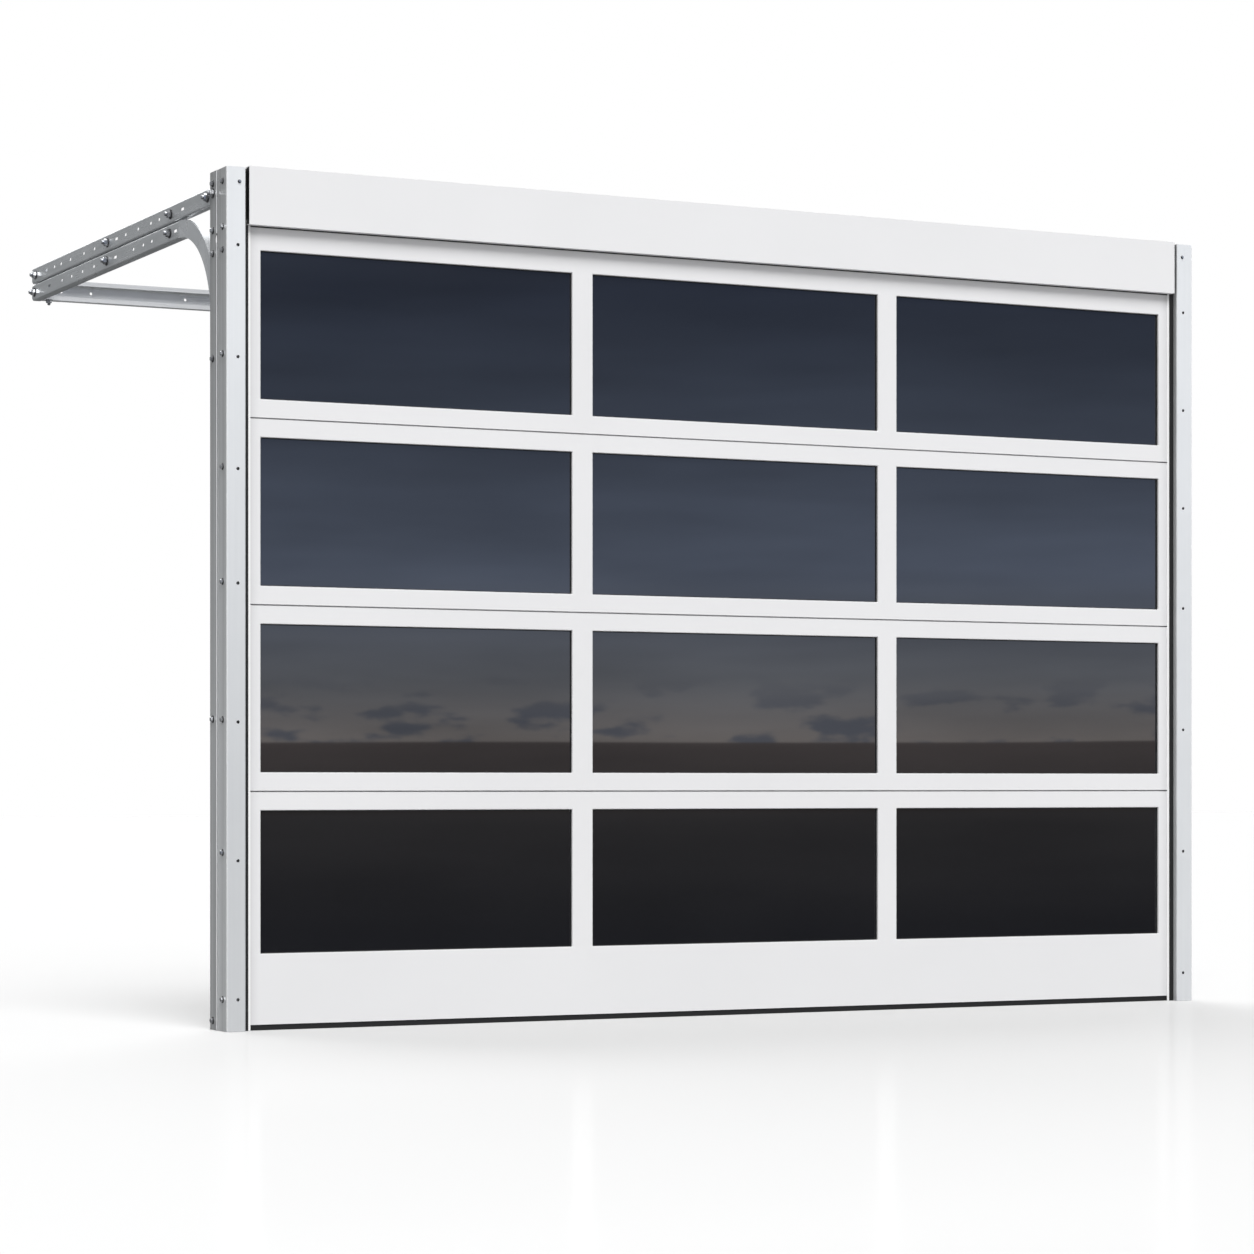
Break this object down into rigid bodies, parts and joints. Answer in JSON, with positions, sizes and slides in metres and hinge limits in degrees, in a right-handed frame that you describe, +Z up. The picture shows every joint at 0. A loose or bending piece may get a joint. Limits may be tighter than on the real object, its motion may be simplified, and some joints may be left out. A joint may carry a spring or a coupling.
{
  "type": "sectional garage door",
  "caption": "Overhead garage door of glazed hinged sections between galvanised jambs, with fascia panel, curved and horizontal roller tracks and rear cross rail.",
  "frame": {"origin": "on the front (wall) face of the left jamb, at the middle of that face's width, at floor level", "axes": "+X along the door to the right as seen from outside, +Y back into the garage, +Z up"},
  "size_m": [3.112, 1.79, 2.309],
  "materials": {
    "bottom_brackets": "galvanised",
    "cable_pulleys": "galvanised",
    "corner_brackets": "galvanised",
    "cross_rail": "galvanised",
    "end_caps": "white powder coat",
    "fascia_panel": "white powder coat",
    "glazing_beads": "white",
    "header": "galvanised",
    "hinge_lower_leaves": "galvanised",
    "hinge_upper_leaves": "galvanised",
    "jamb_left": "galvanised",
    "jamb_right": "galvanised",
    "lift_cables": "galvanised",
    "roller_carriers": "galvanised",
    "roller_shafts": "galvanised",
    "roller_wheels": "off-white nylon",
    "seal_bottom": "black",
    "seal_lintel": "black",
    "section_1_bottom_rail": "white powder coat",
    "section_1_panes": "dark tinted, glossy",
    "section_1_top_rail": "white powder coat",
    "section_1_uprights": "white powder coat",
    "section_2_bottom_rail": "white powder coat",
    "section_2_panes": "dark tinted, glossy",
    "section_2_top_rail": "white powder coat",
    "section_2_uprights": "white powder coat",
    "section_3_bottom_rail": "white powder coat",
    "section_3_panes": "dark tinted, glossy",
    "section_3_top_rail": "white powder coat",
    "section_3_uprights": "white powder coat",
    "section_4_bottom_rail": "white powder coat",
    "section_4_panes": "dark tinted, glossy",
    "section_4_top_rail": "white powder coat",
    "section_4_uprights": "white powder coat",
    "side_plate_left": "galvanised",
    "side_plate_right": "galvanised",
    "side_seals": "black",
    "side_trims": "white powder coat",
    "spring_anchors": "galvanised",
    "tension_springs": "galvanised",
    "top_brackets": "galvanised",
    "track_bend_left": "galvanised",
    "track_bend_right": "galvanised",
    "track_lower_left": "galvanised",
    "track_lower_right": "galvanised",
    "track_upper_left": "galvanised",
    "track_upper_right": "galvanised",
    "track_vertical_left": "galvanised",
    "track_vertical_right": "galvanised"
  },
  "bodies": {
    "root": {"bottom_brackets": "bottom_brackets", "cable_pulleys": "cable_pulleys", "corner_brackets": "corner_brackets", "cross_rail": "cross_rail", "end_caps": "end_caps", "fascia_panel": "fascia_panel", "glazing_beads": "glazing_beads", "header": "header", "hinge_lower_leaves": "hinge_lower_leaves", "hinge_upper_leaves": "hinge_upper_leaves", "jamb_left": "jamb_left", "jamb_right": "jamb_right", "lift_cables": "lift_cables", "roller_carriers": "roller_carriers", "roller_shafts": "roller_shafts", "roller_wheels": "roller_wheels", "seal_bottom": "seal_bottom", "seal_lintel": "seal_lintel", "section_1_bottom_rail": "section_1_bottom_rail", "section_1_panes": "section_1_panes", "section_1_top_rail": "section_1_top_rail", "section_1_uprights": "section_1_uprights", "section_2_bottom_rail": "section_2_bottom_rail", "section_2_panes": "section_2_panes", "section_2_top_rail": "section_2_top_rail", "section_2_uprights": "section_2_uprights", "section_3_bottom_rail": "section_3_bottom_rail", "section_3_panes": "section_3_panes", "section_3_top_rail": "section_3_top_rail", "section_3_uprights": "section_3_uprights", "section_4_bottom_rail": "section_4_bottom_rail", "section_4_panes": "section_4_panes", "section_4_top_rail": "section_4_top_rail", "section_4_uprights": "section_4_uprights", "side_plate_left": "side_plate_left", "side_plate_right": "side_plate_right", "side_seals": "side_seals", "side_trims": "side_trims", "spring_anchors": "spring_anchors", "tension_springs": "tension_springs", "top_brackets": "top_brackets", "track_bend_left": "track_bend_left", "track_bend_right": "track_bend_right", "track_lower_left": "track_lower_left", "track_lower_right": "track_lower_right", "track_upper_left": "track_upper_left", "track_upper_right": "track_upper_right", "track_vertical_left": "track_vertical_left", "track_vertical_right": "track_vertical_right"}
  },
  "joints": []
}
